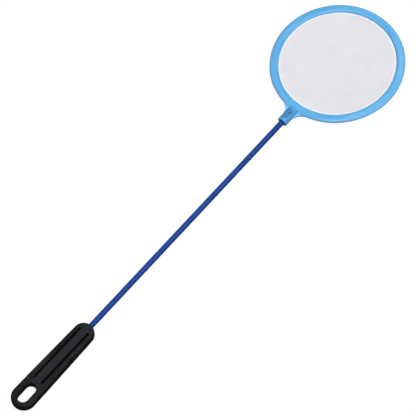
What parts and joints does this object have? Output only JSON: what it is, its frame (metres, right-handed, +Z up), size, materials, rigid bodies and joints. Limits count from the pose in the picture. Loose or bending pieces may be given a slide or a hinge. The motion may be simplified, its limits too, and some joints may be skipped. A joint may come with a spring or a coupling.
{
  "type": "leaf skimmer net",
  "caption": "Hand leaf skimmer: an oval frame that clamps a fine, slightly slack net, on a long coated steel rod with a flat tapered hand grip and a hanging slot.",
  "frame": {"origin": "bottom centre of the bounding box: on the surface the grip lies on, midway between the grip's free end and the far end of the hoop, on the rod's centre line", "axes": "+Y along the rod from the grip to the net head, +X across the rod in the plane of the hoop, +Z up, away from the surface it lies on"},
  "size_m": [0.145, 0.6, 0.0116],
  "materials": {
    "grip_plastic": "fine matt charcoal moulding",
    "steel_wire": "plain drawn wire",
    "rod_plastic": "glossy royal blue soft coating",
    "frame_plastic": "translucent light blue moulding",
    "net": "fine white nylon mesh"
  },
  "bodies": {
    "root": {"grip": "grip_plastic", "rod_core": "steel_wire", "rod_coating": "rod_plastic", "hoop_upper": "frame_plastic", "hoop_lower": "frame_plastic", "net_mesh": "net"}
  },
  "joints": []
}
